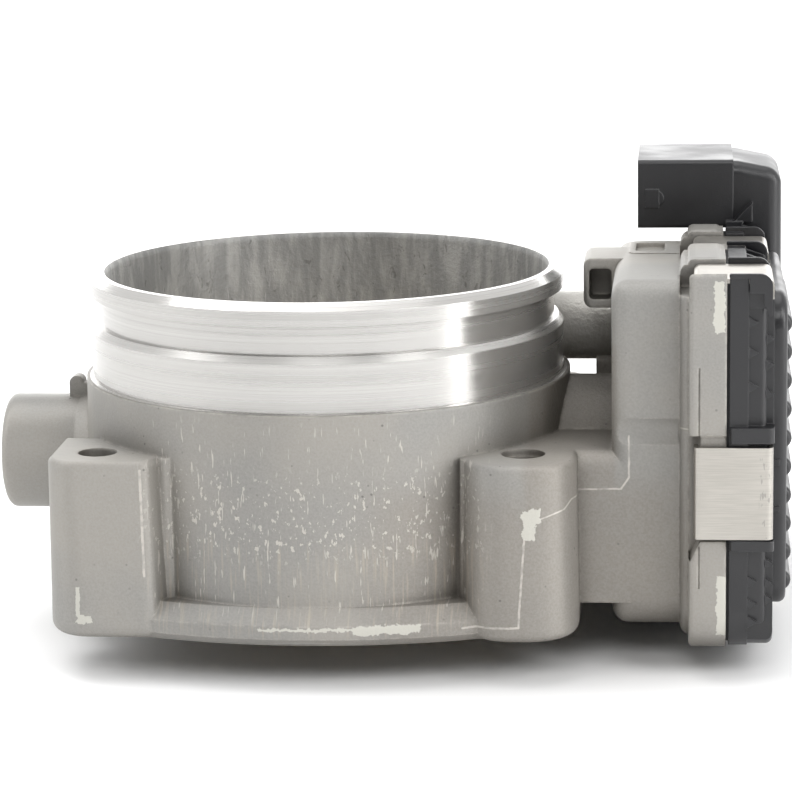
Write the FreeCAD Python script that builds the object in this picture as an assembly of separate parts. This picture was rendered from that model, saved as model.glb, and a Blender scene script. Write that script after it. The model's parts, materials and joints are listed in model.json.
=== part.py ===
"""Electronic throttle body: die-cast housing with a turned hose neck, butterfly, motor drive and clipped cover.

Millimetres, +Z up along the bore. The origin is the bore centre on the flange's mounting face.
+X runs along the throttle shaft towards the gear cover, and +Y points at the side that carries the motor.
"""

import FreeCAD, Part
import math
import os

V = FreeCAD.Vector

# Bore and hose neck
BORE_R = 41.0
MOUTH_R = 41.9
NECK_R = 44.5
GROOVE_R = 42.8
NECK_TOP = 60.7
LIP_BOTTOM = 56.7
GROOVE_BOTTOM = 51.3
BAND_BOTTOM = 41.05
WALL_TOP_R = 45.7
WALL_FOOT_R = 46.3

# Flange and its four bolt bosses
FLANGE_R = 49.4
FLANGE_EDGE = 3.6
FLANGE_TOP = 6.3
SKIRT_R = 88.0
SKIRT_EDGE = 49.6
HOLE_X = 38.5
HOLE_Y = 34.1
HOLE_R = 3.55
BOSS_TOP = 31.9

# Throttle shaft and butterfly
SHAFT_Z = 24.8
SHAFT_R = 5.0
SHAFT_LEFT = -57.5
SHAFT_RIGHT = 74.0
PLATE_R = 40.85
PLATE_T = 2.4
REST_TILT = 7.0
SCREW_X = 16.0
SEAT_R = 8.0
LEFT_BOSS_R = 10.9
LEFT_END = -61.7
RIGHT_BOSS_R = 14.8
BALL_SEAT_R = 11.0
TUBE_Y = 21.0
TUBE_Z = 45.4

# Gear housing, rim and cover, as planes along X
WALL_LEFT = 54.2
FLOOR = 56.8
RIM_LEFT = 67.9
FLARE_LEFT = 66.4
RIM_RIGHT = 74.5
GASKET = 0.5
COVER_LEFT = RIM_RIGHT + GASKET
BAND_RIGHT = 78.3
COLLAR_RIGHT = 81.4
STEP_RIGHT = 82.8
DOME_RIGHT = 85.2
RIB_RIGHT = 86.2
RIB_FIRST = 8.4
RIB_PITCH = 5.2
WALL = 3.0

# Corners of the rim, of the body behind it and of the cover's dome, as Y, Z and corner radius
RIM = [
    (-42.0, -2.2, 8.0), (-42.0, 65.7, 0.9), (22.5, 64.6, 3.0), (79.0, 36.0, 12.0), (79.0, -7.4, 9.0),
    (2.0, -7.4, 18.0),
]
BODY = [
    (-33.0, 0.6, 7.0), (-33.0, 62.8, 3.4), (22.0, 61.8, 10.0), (76.4, 33.0, 10.0), (76.4, -6.4, 7.0),
    (-6.0, -6.4, 14.0),
]
DOME = [
    (-37.0, 5.4, 5.0), (-37.0, 61.2, 6.0), (19.0, 60.2, 8.0), (72.0, 33.0, 10.0), (72.0, -1.2, 6.0),
    (4.0, -2.4, 12.0),
]

# Motor, behind the bore
MOTOR_Y = 58.0
MOTOR_Z = 12.9
CAN_R = 12.6
CAN_LEFT = 13.0
CASING_R = 15.2
CASING_LEFT = 6.5
MOTOR_SHAFT_R = 1.6

# Two gear stages: module, pinion teeth, wheel teeth
FAST = (0.8, 12, 58)
SLOW = (1.1, 12, 45)
PRESSURE = math.radians(25.0)
THINNING = 0.12
SLOW_X = (63.0, 69.0)
FAST_X = (70.4, 74.0)
AXLE_R = 2.5
AXLE_GAP = 0.05
HOLDER_STEM_R = 6.8
HOLDER_CUP = (74.5, 76.0)

# Spring clips round the cover: place along the side, on each side of the rim
CLIP_WIDTH = 16.5
CLIP_T = 0.8
CLIP_LEFT = 68.8
CLIP_RIGHT = 82.7
CLIP_SUNK = 0.9
TOP_LUGS = ((-23.6, 18.8, 65.5), (13.4, 9.6, 65.0))
FIN_GAP = 18.1
FIN_T = 0.9

# Electrical connector, moulded on the cover
PLUG_X = (58.1, 76.5)
PLUG_Y = (25.6, 52.0)
PLUG_Z = (63.6, 76.9)
PLUG_WALL = 1.6
PIN_PITCH = 3.2


# ---------------------------------------------------------------- geometry helpers
def box(x0, x1, y0, y1, z0, z1):
    return Part.makeBox(x1 - x0, y1 - y0, z1 - z0, V(x0, y0, z0))


def cyl_x(r, x0, x1, y=0.0, z=SHAFT_Z):
    return Part.makeCylinder(r, x1 - x0, V(x0, y, z), V(1, 0, 0))


def ring_x(r_out, r_in, x0, x1, y=0.0, z=SHAFT_Z):
    return cyl_x(r_out, x0, x1, y, z).cut(cyl_x(r_in, x0 - 1, x1 + 1, y, z))


def cyl_z(r, z0, z1, x=0.0, y=0.0):
    return Part.makeCylinder(r, z1 - z0, V(x, y, z0), V(0, 0, 1))


def cyl_y(r, y0, y1, x, z):
    return Part.makeCylinder(r, y1 - y0, V(x, y0, z), V(0, 1, 0))


def fuse(first, *rest):
    return first.multiFuse(list(rest)).removeSplitter()


def turned(shape, degrees, y=0.0, z=SHAFT_Z):
    """The shape turned about an axis along X."""
    copy = shape.copy()
    copy.rotate(V(0, y, z), V(1, 0, 0), degrees)
    return copy


def rounded_wire(corners):
    """A closed wire through corners given as (point, radius), with an arc at each that has a radius."""
    edges = []
    starts = []
    ends = []
    n = len(corners)
    for i in range(n):
        p, r = corners[i]
        to_last = (corners[i - 1][0] - p).normalize()
        to_next = (corners[(i + 1) % n][0] - p).normalize()
        half = to_last.getAngle(to_next) / 2
        reach = r / math.tan(half)
        middle = (to_last + to_next).normalize()
        starts.append(p + to_last * reach)
        ends.append(p + to_next * reach)
        if r:
            edges.append(Part.Arc(starts[i], p + middle * (r / math.sin(half) - r), ends[i]).toShape())
    for i in range(n):
        edges.append(Part.LineSegment(ends[i], starts[(i + 1) % n]).toShape())
    return Part.Wire(Part.__sortEdges__(edges))


def outline_at(corners, x, inset=0.0):
    """The rounded outline given as Y, Z, radius, in the plane at x, drawn in by inset."""
    wire = rounded_wire([(V(x, y, z), r) for y, z, r in corners])
    if not inset:
        return wire
    return wire.makeOffset2D(-inset)


def prism_x(corners, x0, x1, inset=0.0):
    return Part.Face(outline_at(corners, x0, inset)).extrude(V(x1 - x0, 0, 0))


def prism_y(points, y0, y1):
    """A block with a sharp outline given as X, Z."""
    wire = Part.makePolygon([V(x, y0, z) for x, z in points + points[:1]])
    return Part.Face(wire).extrude(V(0, y1 - y0, 0))


def prism_z(corners, z0, z1):
    """A block standing on a plan outline given as X, Y, radius."""
    wire = rounded_wire([(V(x, y, z0), r) for x, y, r in corners])
    return Part.Face(wire).extrude(V(0, 0, z1 - z0))


def drafted(foot, head, z0, z1):
    """A block whose plan outline changes from foot to head."""
    low = rounded_wire([(V(x, y, z0), r) for x, y, r in foot])
    high = rounded_wire([(V(x, y, z1), r) for x, y, r in head])
    return Part.makeLoft([low, high], True, True)


def revolved(profile):
    """A solid of revolution about the bore, from radius and height pairs."""
    points = [V(r, 0, z) for r, z in profile]
    return Part.Face(Part.makePolygon(points + points[:1])).revolve(V(0, 0, 0), V(0, 0, 1), 360)


def edges_at_x(shape, x):
    return [e for e in shape.Edges if e.BoundBox.XMin > x - 0.01 and e.BoundBox.XMax < x + 0.01]


def edges_at_z(shape, z):
    return [e for e in shape.Edges if e.BoundBox.ZMin > z - 0.01 and e.BoundBox.ZMax < z + 0.01]


def outer_edges_at_z(shape, z, clear_y=26.0):
    """Edges at a height that reach further from the bore's axis, along Y, than clear_y."""
    return [e for e in edges_at_z(shape, z) if max(abs(e.BoundBox.YMin), abs(e.BoundBox.YMax)) > clear_y]


# ---------------------------------------------------------------- gears
def pitch_r(module, teeth):
    return module * teeth / 2


def centre_distance(stage):
    module, pinion, wheel = stage
    return module * (pinion + wheel) / 2


def intermediate_centre():
    """The axle where both centre distances meet, above the line from shaft to motor."""
    slow = centre_distance(SLOW)
    fast = centre_distance(FAST)
    dy = MOTOR_Y
    dz = MOTOR_Z - SHAFT_Z
    apart = math.hypot(dy, dz)
    along = (slow**2 - fast**2 + apart**2) / (2 * apart)
    off = math.sqrt(slow**2 - along**2)
    y = (dy * along - dz * off) / apart
    z = SHAFT_Z + (dz * along + dy * off) / apart
    return y, z


def involute(radius, base):
    roll = math.sqrt(max((radius / base) ** 2 - 1, 0))
    return roll - math.atan(roll)


def gear(module, teeth, x0, x1, y, z, tooth_at):
    """A spur gear along X with involute flanks, with one tooth centred on the angle tooth_at."""
    rp = pitch_r(module, teeth)
    base = rp * math.cos(PRESSURE)
    root = rp - 1.25 * module
    tip = rp + module
    half = math.pi / (2 * teeth) - THINNING / (2 * rp) + involute(rp, base)
    radii = [root, max(base, root), (base + rp) / 2, rp, (rp + tip) / 2, tip]
    flank = [(r, half - involute(r, base)) for r in radii]
    points = []
    for i in range(teeth):
        centre = tooth_at + 2 * math.pi * i / teeth
        side = [(r, centre - a) for r, a in flank] + [(r, centre + a) for r, a in reversed(flank)]
        points += [V(x0, y + r * math.cos(a), z + r * math.sin(a)) for r, a in side]
    return Part.Face(Part.makePolygon(points + points[:1])).extrude(V(x1 - x0, 0, 0))


MID_Y, MID_Z = intermediate_centre()
SLOW_LINE = math.atan2(MID_Z - SHAFT_Z, MID_Y)
FAST_LINE = math.atan2(MOTOR_Z - MID_Z, MOTOR_Y - MID_Y)


# ---------------------------------------------------------------- housing
def neck_and_wall():
    """Flange disc, as-cast wall and turned hose neck, solid across the bore."""
    return revolved([
        (0, 0), (FLANGE_R - 1.6, 0), (FLANGE_R - 0.5, 0.5), (FLANGE_R, 1.6), (FLANGE_R, FLANGE_EDGE),
        (FLANGE_R - 0.5, FLANGE_EDGE + 0.7), (WALL_FOOT_R + 1.2, FLANGE_TOP - 1.1),
        (WALL_FOOT_R + 0.4, FLANGE_TOP - 0.6),
        (WALL_FOOT_R, FLANGE_TOP + 0.4), (WALL_TOP_R, BAND_BOTTOM), (NECK_R, BAND_BOTTOM),
        (NECK_R, GROOVE_BOTTOM - 1.2), (NECK_R - 0.9, GROOVE_BOTTOM), (GROOVE_R, GROOVE_BOTTOM),
        (GROOVE_R, LIP_BOTTOM),
        (NECK_R, LIP_BOTTOM), (NECK_R, NECK_TOP - 1.3), (NECK_R - 1.4, NECK_TOP), (0, NECK_TOP),
    ])


def bore():
    return revolved([
        (0, -1), (BORE_R + 0.6, -1), (BORE_R + 0.6, 0), (BORE_R, 8.0), (BORE_R, 38.0),
        (MOUTH_R - 0.3, NECK_TOP - 1.0),
        (MOUTH_R, NECK_TOP), (MOUTH_R, NECK_TOP + 1), (0, NECK_TOP + 1),
    ])


def flange_skirt():
    """Front edge of the flange, flatter than the disc, so that it runs on into both bolt bosses."""
    middle_y = SKIRT_R - SKIRT_EDGE
    up = V(0, 0, 1)
    under = Part.makeCone(SKIRT_R - 1.4, SKIRT_R, 1.4, V(0, middle_y, 0), up)
    edge = cyl_z(SKIRT_R, 1.4, FLANGE_EDGE + 0.2, 0, middle_y)
    slope = Part.makeCone(SKIRT_R, SKIRT_R - 3.1, 2.6, V(0, middle_y, FLANGE_EDGE + 0.2), up)
    return fuse(under, edge, slope).common(box(-29.5, 33.0, -51.0, -33.0, -1.0, 8.0))


def left_boss(side):
    """Square bolt boss on the shaft's left; side is -1 at the front and 1 at the back."""
    foot = [
        (-20.0, side * 24.0, 0), (-27.2, side * 45.6, 2.4), (-47.1, side * 45.6, 8.0),
        (-47.1, side * 22.0, 0),
    ]
    head = [
        (-20.0, side * 24.0, 0), (-28.4, side * 42.4, 1.4), (-46.9, side * 42.4, 5.2),
        (-46.9, side * 22.0, 0),
    ]
    block = drafted(foot, head, 0.0, BOSS_TOP)
    block = block.makeFillet(2.2, outer_edges_at_z(block, 0.0))
    block = block.makeFillet(0.9, outer_edges_at_z(block, BOSS_TOP))
    rib = Part.makeCone(2.3, 1.5, BOSS_TOP - FLANGE_EDGE, V(-25.6, side * 37.6, FLANGE_EDGE), V(0, 0, 1))
    return fuse(block, rib)


def right_boss(side):
    """Round-fronted bolt boss on the shaft's right."""
    foot = [
        (24.0, side * 24.0, 0), (29.4, side * 46.6, 9.2), (48.5, side * 46.6, 9.2),
        (48.5, side * 22.0, 0),
    ]
    head = [
        (24.0, side * 24.0, 0), (30.0, side * 45.3, 8.8), (48.1, side * 45.3, 8.8),
        (48.1, side * 22.0, 0),
    ]
    block = drafted(foot, head, 0.0, BOSS_TOP)
    block = block.makeFillet(2.2, outer_edges_at_z(block, 0.0))
    block = block.makeFillet(0.9, outer_edges_at_z(block, BOSS_TOP))
    rib = Part.makeCone(1.4, 1.0, BOSS_TOP - FLANGE_EDGE, V(28.4, side * 38.1, FLANGE_EDGE), V(0, 0, 1))
    return fuse(block, rib)


def shaft_bosses():
    left = cyl_x(LEFT_BOSS_R, LEFT_END, -42.5)
    left = left.makeFillet(1.5, edges_at_x(left, LEFT_END))
    flare = Part.makeCone(LEFT_BOSS_R, LEFT_BOSS_R + 1.4, 3.4, V(-47.6, 0, SHAFT_Z), V(1, 0, 0))
    root = cyl_x(LEFT_BOSS_R + 1.4, -44.2, -42.5)
    post = box(-49.7, -45.0, -1.6, 1.6, 33.0, 38.2)
    post_head = cyl_y(1.35, -1.6, 1.6, -48.35, 38.2)
    right = cyl_x(RIGHT_BOSS_R, 41.5, FLOOR)
    return fuse(left, flare, root, post, post_head, right)


def bridge_to_gear_case():
    """Web with its ledge, the tube above it and the brace behind, from the bore wall to the gear case."""
    web = prism_z([(36.0, -33.0, 0), (57.6, -33.0, 0), (57.6, 14.0, 0), (36.0, 14.0, 0)], 4.2, BOSS_TOP)
    web = web.makeFillet(3.2, [e for e in edges_at_z(web, BOSS_TOP) if e.BoundBox.YMax < -32])
    tube = cyl_x(6.6, 36.0, WALL_LEFT + 1, TUBE_Y, TUBE_Z)
    filler = box(50.5, WALL_LEFT + 1, 5.0, 9.0, 36.0, 41.6)
    brace = box(34.0, WALL_LEFT + 1, 14.0, 34.0, -1.0, 20.0)
    return fuse(web, tube, filler, brace)


def gear_case():
    """Shallow pan that holds the gears, with a wider rim for the cover."""
    pan = prism_x(BODY, WALL_LEFT, RIM_LEFT + 1)
    pan = pan.makeFillet(3.0, edges_at_x(pan, WALL_LEFT))
    rim = prism_x(RIM, RIM_LEFT, RIM_RIGHT)
    rim = rim.makeFillet(0.8, edges_at_x(rim, RIM_LEFT))
    flare = prism_x(BODY, FLARE_LEFT, RIM_LEFT + 1, -2.2)
    flare = flare.makeFillet(2.0, edges_at_x(flare, FLARE_LEFT))
    flare = flare.common(prism_x(RIM, FLARE_LEFT, RIM_LEFT + 1, 1.0))
    lug = box(48.3, WALL_LEFT + 3, -1.0, 13.0, 52.6, 61.9)
    lug = lug.makeFillet(1.6, [e for e in lug.Edges if e.BoundBox.XMax < 48.4])
    top_pad = prism_z([(56.7, 3.0, 2), (68.4, 3.0, 0), (68.4, 18.0, 0), (56.7, 18.0, 2)], 58.0, 62.3)
    pads = [box(RIM_LEFT - 0.2, RIM_RIGHT - 0.3, y, y + depth, 60.0, top) for y, depth, top in TOP_LUGS]
    pads = [pad.makeFillet(1.4, [e for e in pad.Edges if e.BoundBox.ZMin > 64.0]) for pad in pads]
    return fuse(pan, rim, flare, lug, top_pad, *pads)


def case_cuts():
    """Valley, recesses and clip pockets on the outside of the gear case."""
    valley = cyl_x(4.0, 53.0, 66.2, -36.2, 35.8)
    recess = box(49.4, 53.6, -2.0, 4.5, 54.2, 60.0)
    recess = recess.makeFillet(0.8, [e for e in recess.Edges if e.BoundBox.YLength > 6])
    pad_recess = box(58.0, 63.4, 6.0, 15.3, 61.5, 66.0)
    side_pocket = prism_y(
        [(66.2, 36.8), (70.0, 36.8), (70.0, 17.9), (68.2, 14.2), (66.2, 17.6)], -43.0, -35.6,
    )
    clip_seat = box(66.2, RIM_RIGHT + 1, -43.0, -41.5, 17.9, 36.9)
    slits = [box(69.6, 69.9, -42.6, -41.8, z0, z1) for z0, z1 in ((9.3, 17.0), (36.8, 49.0))]
    pockets = at_clips(hook_pocket()) + at_top_clips(clip_recess())
    return [valley, recess, pad_recess, side_pocket, clip_seat] + slits + pockets


def gear_space():
    """The room inside the gear case, open at the rim."""
    deep = prism_x(BODY, FLOOR, RIM_RIGHT + 1, WALL)
    wide = prism_x(RIM, RIM_LEFT + 2.5, RIM_RIGHT + 1, WALL + 0.6)
    return fuse(deep, wide)


def motor_casing():
    shell = cyl_x(CASING_R, CASING_LEFT, FLOOR, MOTOR_Y, MOTOR_Z)
    shell = shell.makeFillet(2.5, edges_at_x(shell, CASING_LEFT))
    web = box(CASING_LEFT + 4, FLOOR, 36.0, MOTOR_Y, 4.0, 20.0)
    foot = prism_z(
        [(12.0, 36.0, 1), (54.8, 20.0, 1), (54.8, MOTOR_Y - 7, 4), (20.0, MOTOR_Y - 7, 4)], 0.0, 5.0,
    )
    return fuse(shell, web, foot)


def throttle_housing():
    solid = fuse(neck_and_wall(), flange_skirt(), left_boss(-1), left_boss(1), right_boss(-1), right_boss(1))
    solid = fuse(solid, shaft_bosses(), bridge_to_gear_case(), gear_case(), motor_casing())
    cuts = case_cuts() + [bore(), gear_space()]
    cuts += [cyl_z(HOLE_R, -8, BOSS_TOP + 1, x, y) for x in (-HOLE_X, HOLE_X) for y in (-HOLE_Y, HOLE_Y)]
    cuts += [cyl_z(HOLE_R + 0.4, BOSS_TOP - 1.2, BOSS_TOP + 1, HOLE_X, -HOLE_Y)]
    cuts += [cyl_x(SEAT_R, LEFT_END - 1, -44.5), cyl_x(SHAFT_R + 0.4, -45, 48)]
    cuts += [cyl_x(SEAT_R, 44.0, 48.0), cyl_x(BALL_SEAT_R, 47.6, FLOOR + 1)]
    solid = solid.cut(cuts)
    posts = at_motor_screws(4.0, FLOOR - 1, PLATE_LEFT)
    stop = box(FLOOR - 1, 67.6, -18.0, -9.0, 42.0, 50.0).cut(cyl_z(STOP_R, 41, 51, STOP_X, STOP_Y))
    boss = cyl_x(AXLE_R + 2.5, FLOOR - 1, 59.5, MID_Y, MID_Z)
    solid = fuse(solid, boss, stop, *posts)
    axle_bore = cyl_x(AXLE_R, WALL_LEFT + 0.6, 61, MID_Y, MID_Z)
    motor_bore = cyl_x(CAN_R + 0.3, CAN_LEFT - 3.5, 60, MOTOR_Y, MOTOR_Z)
    return solid.cut([axle_bore, motor_bore] + at_motor_screws(1.7, WALL_LEFT + 1.0, PLATE_LEFT + 1))


# ---------------------------------------------------------------- motor
MOTOR_SCREWS = ((-8.5, 14.7), (10.5, -11.1))
PLATE_LEFT = FLOOR + 0.6


def at_motor_screws(r, x0, x1):
    """A cylinder of radius r at each of the motor's two screws."""
    return [cyl_x(r, x0, x1, MOTOR_Y + dy, MOTOR_Z + dz) for dy, dz in MOTOR_SCREWS]


def motor_can():
    shell = ring_x(CAN_R, CAN_R - 1.1, CAN_LEFT, PLATE_LEFT, MOTOR_Y, MOTOR_Z)
    end = ring_x(CAN_R, 3.6, CAN_LEFT, CAN_LEFT + 1.2, MOTOR_Y, MOTOR_Z)
    snout = ring_x(4.8, 3.6, CAN_LEFT - 2.5, CAN_LEFT + 0.5, MOTOR_Y, MOTOR_Z)
    return fuse(shell, end, snout)


def motor_mount_plate():
    disc = cyl_x(CAN_R + 1.2, PLATE_LEFT, PLATE_LEFT + 1.5, MOTOR_Y, MOTOR_Z)
    ears = at_motor_screws(4.4, PLATE_LEFT, PLATE_LEFT + 1.5)
    plate = fuse(disc, *ears).cut(cyl_x(4.0, PLATE_LEFT - 1, PLATE_LEFT + 2, MOTOR_Y, MOTOR_Z))
    holes = at_motor_screws(1.9, PLATE_LEFT - 1, PLATE_LEFT + 2)
    return plate.cut(holes + terminal_bars(PLATE_LEFT - 1, PLATE_LEFT + 2, 0.35))


def motor_screws():
    screws = []
    for dy, dz in MOTOR_SCREWS:
        y, z = MOTOR_Y + dy, MOTOR_Z + dz
        head = cyl_x(3.2, PLATE_LEFT + 1.5, PLATE_LEFT + 3.9, y, z)
        head = head.makeFillet(0.7, edges_at_x(head, PLATE_LEFT + 3.9))
        shank = cyl_x(1.7, WALL_LEFT + 1.2, PLATE_LEFT + 1.6, y, z)
        socket = hexagon_x(1.4, PLATE_LEFT + 2.6, PLATE_LEFT + 4.5, y, z)
        screws.append(fuse(head, shank).cut(socket))
    return Part.makeCompound(screws)


def hexagon_x(r, x0, x1, y, z):
    angles = [math.radians(60 * i) for i in range(7)]
    points = [V(x0, y + r * math.cos(a), z + r * math.sin(a)) for a in angles]
    return Part.Face(Part.makePolygon(points)).extrude(V(x1 - x0, 0, 0))


def motor_magnets():
    tube = ring_x(CAN_R - 1.1, CAN_R - 3.2, 20.0, 47.0, MOTOR_Y, MOTOR_Z)
    split = box(19, 48, MOTOR_Y - 3.0, MOTOR_Y + 3.0, MOTOR_Z - 20, MOTOR_Z + 20)
    return tube.cut(split)


def motor_bushes():
    back = ring_x(3.6, MOTOR_SHAFT_R + AXLE_GAP, CAN_LEFT - 2.3, CAN_LEFT + 1.2, MOTOR_Y, MOTOR_Z)
    front = ring_x(4.0, MOTOR_SHAFT_R + AXLE_GAP, PLATE_LEFT - 1.6, PLATE_LEFT + 1.5, MOTOR_Y, MOTOR_Z)
    return Part.makeCompound([back, front])


def brush_holder():
    disc = ring_x(CAN_R - 1.1, 6.0, 53.2, PLATE_LEFT - 0.4, MOTOR_Y, MOTOR_Z)
    sides = (MOTOR_Y - 8.0, MOTOR_Y + 8.0)
    slots = [box(52, 59, y - 2.7, y + 2.7, MOTOR_Z - 1.6, MOTOR_Z + 1.6) for y in sides]
    return disc.cut(slots + terminal_bars(50, 60, 0.0))


def motor_brushes():
    """Two carbon blocks that bear on the commutator from opposite sides."""
    track = cyl_x(COMMUTATOR_R + 0.05, 40, 60, MOTOR_Y, MOTOR_Z)
    blocks = []
    for side in (-1, 1):
        y = MOTOR_Y + side * 7.2
        blocks.append(box(50.0, 52.8, y - 3.0, y + 3.0, MOTOR_Z - 1.5, MOTOR_Z + 1.5).cut(track))
    return Part.makeCompound(blocks)


COMMUTATOR_R = 4.6


def terminal_bars(x0, x1, spare):
    """The two motor terminals as flat bars, grown all round by spare."""
    bars = []
    for dy in (0.6, 6.2):
        y, z = MOTOR_Y + dy, MOTOR_Z + 8.0
        bars.append(box(x0, x1, y - 1.2 - spare, y + 1.2 + spare, z - 0.4 - spare, z + 0.4 + spare))
    return bars


def motor_terminals():
    """Two blades from the brush holder to the sockets in the cover."""
    return Part.makeCompound(terminal_bars(54.0, 79.0, 0.0))


def motor_wave_spring():
    return ring_x(8.0, 5.4, CAN_LEFT - 1.4, CAN_LEFT, MOTOR_Y, MOTOR_Z)


def motor_shaft():
    return cyl_x(MOTOR_SHAFT_R, CAN_LEFT - 2.2, 75.4, MOTOR_Y, MOTOR_Z)


def motor_armature():
    core = cyl_x(CAN_R - 3.7, 24.0, 44.0, MOTOR_Y, MOTOR_Z)
    slots = []
    for i in range(7):
        slot = box(23, 45, MOTOR_Y - 0.7, MOTOR_Y + 0.7, MOTOR_Z + 5.4, MOTOR_Z + 12)
        head = cyl_x(1.7, 23, 45, MOTOR_Y, MOTOR_Z + 5.6)
        slots += [turned(s, 360 * i / 7, MOTOR_Y, MOTOR_Z) for s in (slot, head)]
    return core.cut(slots + [cyl_x(MOTOR_SHAFT_R, 20, 50, MOTOR_Y, MOTOR_Z)])


def motor_windings():
    """Copper coils seen as a torus of wire at each end of the laminations."""
    coils = []
    for x in (21.4, 46.6):
        coil = Part.makeTorus(5.4, 2.4, V(x, MOTOR_Y, MOTOR_Z), V(1, 0, 0))
        coils.append(coil.cut(cyl_x(MOTOR_SHAFT_R + 1.3, 15, 55, MOTOR_Y, MOTOR_Z)))
    return Part.makeCompound(coils)


def motor_commutator():
    drum = ring_x(COMMUTATOR_R, MOTOR_SHAFT_R, 49.4, 53.0, MOTOR_Y, MOTOR_Z)
    gaps = []
    for i in range(7):
        gap = box(49, 52.4, MOTOR_Y - 0.2, MOTOR_Y + 0.2, MOTOR_Z + 3.4, MOTOR_Z + 6)
        gaps.append(turned(gap, 360 * i / 7, MOTOR_Y, MOTOR_Z))
    return drum.cut(gaps)


def motor_pinion():
    module, pinion, wheel = FAST
    phase = FAST_LINE + math.pi + math.pi / pinion
    teeth = gear(module, pinion, FAST_X[0] - 0.6, FAST_X[1] + 0.6, MOTOR_Y, MOTOR_Z, phase)
    return teeth.cut(cyl_x(MOTOR_SHAFT_R, 60, 80, MOTOR_Y, MOTOR_Z))


# ---------------------------------------------------------------- gear train
def intermediate_gear():
    """Large wheel driven by the motor, moulded with the small pinion that drives the sector."""
    module, pinion, wheel = FAST
    web = gear(module, wheel, FAST_X[0], FAST_X[1], MID_Y, MID_Z, FAST_LINE)
    web = web.cut(ring_x(19.5, 8.0, FAST_X[1] - 1.0, FAST_X[1] + 1, MID_Y, MID_Z))
    module, pinion, wheel = SLOW
    phase = SLOW_LINE + math.pi + math.pi / pinion
    small = gear(module, pinion, SLOW_X[0] - 0.4, FAST_X[0] + 0.5, MID_Y, MID_Z, phase)
    hub = cyl_x(4.6, 60.0, 76.5, MID_Y, MID_Z)
    return fuse(web, small, hub).cut(cyl_x(AXLE_R + AXLE_GAP, 50, 90, MID_Y, MID_Z))


def intermediate_axle():
    pin = cyl_x(AXLE_R, WALL_LEFT + 0.8, 80.5, MID_Y, MID_Z)
    return pin.makeChamfer(0.4, edges_at_x(pin, WALL_LEFT + 0.8) + edges_at_x(pin, 80.5))


def throttle_gear():
    """Toothed sector on the throttle shaft, with a stop arm and a hub that the spring turns round."""
    module, pinion, wheel = SLOW
    full = gear(module, wheel, SLOW_X[0], SLOW_X[1], 0, SHAFT_Z, SLOW_LINE)
    wedge_angles = [math.radians(a) for a in (-98, -70, -40, -10, 16)]
    rays = [V(60, 40 * math.cos(a), SHAFT_Z + 40 * math.sin(a)) for a in wedge_angles]
    wedge = [V(60, 0, SHAFT_Z)] + rays
    wedge = Part.Face(Part.makePolygon(wedge + wedge[:1])).extrude(V(12, 0, 0))
    sector = full.common(wedge)
    pocket_angles = [math.radians(a) for a in (-84, -60, -32, -4)]
    outer = [V(60, 19.5 * math.cos(a), SHAFT_Z + 19.5 * math.sin(a)) for a in pocket_angles]
    inner = [V(60, 11.5 * math.cos(a), SHAFT_Z + 11.5 * math.sin(a)) for a in reversed(pocket_angles)]
    pocket = Part.Face(Part.makePolygon(outer + inner + outer[:1])).extrude(V(5.6, 0, 0))
    hub = cyl_x(9.0, 58.6, SLOW_X[1])
    arm = box(SLOW_X[0], SLOW_X[1] - 2, -17.5, 0, SHAFT_Z - 3.2, SHAFT_Z + 3.2)
    return fuse(sector.cut(pocket), hub, arm).cut(cyl_x(SHAFT_R, 50, 80))


def sensor_magnet_holder():
    """Sleeve on the shaft that passes inside the large wheel and carries a cup beyond it."""
    stem = ring_x(HOLDER_STEM_R, SHAFT_R, SLOW_X[1], HOLDER_CUP[0])
    floor = ring_x(8.6, SHAFT_R, HOLDER_CUP[0], HOLDER_CUP[0] + 0.6)
    wall = ring_x(8.6, 7.6, HOLDER_CUP[0], HOLDER_CUP[1])
    return fuse(stem, floor, wall)


def sensor_magnets():
    tube = ring_x(7.6, SHAFT_R + 0.2, HOLDER_CUP[0] + 0.6, HOLDER_CUP[1])
    return tube.cut(box(60, 80, -20, 20, SHAFT_Z - 0.8, SHAFT_Z + 0.8))


# ---------------------------------------------------------------- shaft, butterfly and bearings
def throttle_shaft():
    shaft = cyl_x(SHAFT_R, SHAFT_LEFT, SHAFT_RIGHT)
    shaft = shaft.makeChamfer(0.5, edges_at_x(shaft, SHAFT_LEFT) + edges_at_x(shaft, SHAFT_RIGHT))
    half = PLATE_T / 2
    slot = box(-PLATE_R - 0.1, PLATE_R + 0.1, -10, 10, SHAFT_Z - half, SHAFT_Z + half)
    cuts = [slot]
    for x in (-SCREW_X, SCREW_X):
        cuts.append(cyl_z(2.0, SHAFT_Z - 10, SHAFT_Z + 10, x))
        cuts.append(cyl_z(3.7, SHAFT_Z + 3.2, SHAFT_Z + 10, x))
    return turned(shaft.cut(cuts), REST_TILT)


def throttle_plate():
    half = PLATE_T / 2
    disc = cyl_z(PLATE_R, SHAFT_Z - half, SHAFT_Z + half)
    disc = disc.makeChamfer(0.35, [e for e in disc.Edges if e.BoundBox.ZLength < 0.01])
    disc = disc.cut([cyl_z(2.0, SHAFT_Z - 5, SHAFT_Z + 5, x) for x in (-SCREW_X, SCREW_X)])
    return turned(disc, REST_TILT)


def plate_screws():
    screws = []
    for x in (-SCREW_X, SCREW_X):
        head = cyl_z(3.5, SHAFT_Z + 3.2, SHAFT_Z + 5.3, x)
        head = head.makeFillet(0.8, edges_at_z(head, SHAFT_Z + 5.3))
        shank = cyl_z(2.0, SHAFT_Z - 5.2, SHAFT_Z + 3.3, x)
        slots = [box(x - a, x + a, -b, b, SHAFT_Z + 4.2, SHAFT_Z + 6) for a, b in ((1.9, 0.4), (0.4, 1.9))]
        screws.append(turned(fuse(head, shank).cut(slots), REST_TILT))
    return Part.makeCompound(screws)


NEEDLES = (-57.0, -48.4)


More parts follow.
